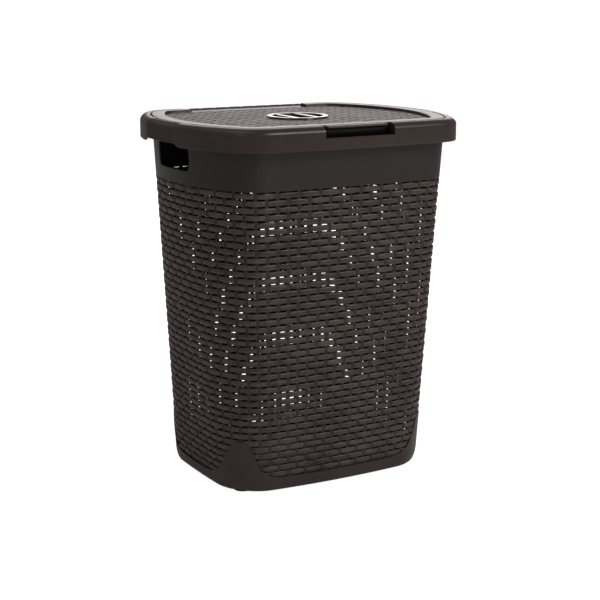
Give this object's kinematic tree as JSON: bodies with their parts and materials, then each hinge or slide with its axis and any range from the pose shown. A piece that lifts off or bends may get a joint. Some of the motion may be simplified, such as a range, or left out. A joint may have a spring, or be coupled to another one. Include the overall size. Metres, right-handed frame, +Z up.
{
  "type": "lidded laundry hamper",
  "caption": "Tall tapered moulded hamper with a woven-look wall, hand holes in both ends, an overhanging rim frame and a hinged lid with a round grille.",
  "frame": {"origin": "on the ground under the middle of the rim frame", "axes": "+X to the object's right seen from the front, +Y to the hinge side at the back, +Z up"},
  "size_m": [0.448, 0.372, 0.5335],
  "materials": {
    "woven_plastic": "satin dark brown with a fine moulded grain",
    "rim_plastic": "smooth satin dark brown",
    "lid_plastic": "satin dark brown, woven relief in the panel",
    "grille_plastic": "polished dark brown",
    "pin_plastic": "plain dark brown"
  },
  "bodies": {
    "basket": {"tub": "woven_plastic", "rim_frame": "rim_plastic", "hinge_pin_left": "pin_plastic", "hinge_pin_right": "pin_plastic"},
    "lid_body": {"lid": "lid_plastic", "lid_grille": "grille_plastic"}
  },
  "joints": [
    {"name": "lid_hinge", "type": "hinge", "parent": "basket", "child": "lid_body", "pos_m": [0, 0.178, 0.5285], "axis": [-1, 0, 0], "range_deg": [0, 105]}
  ]
}
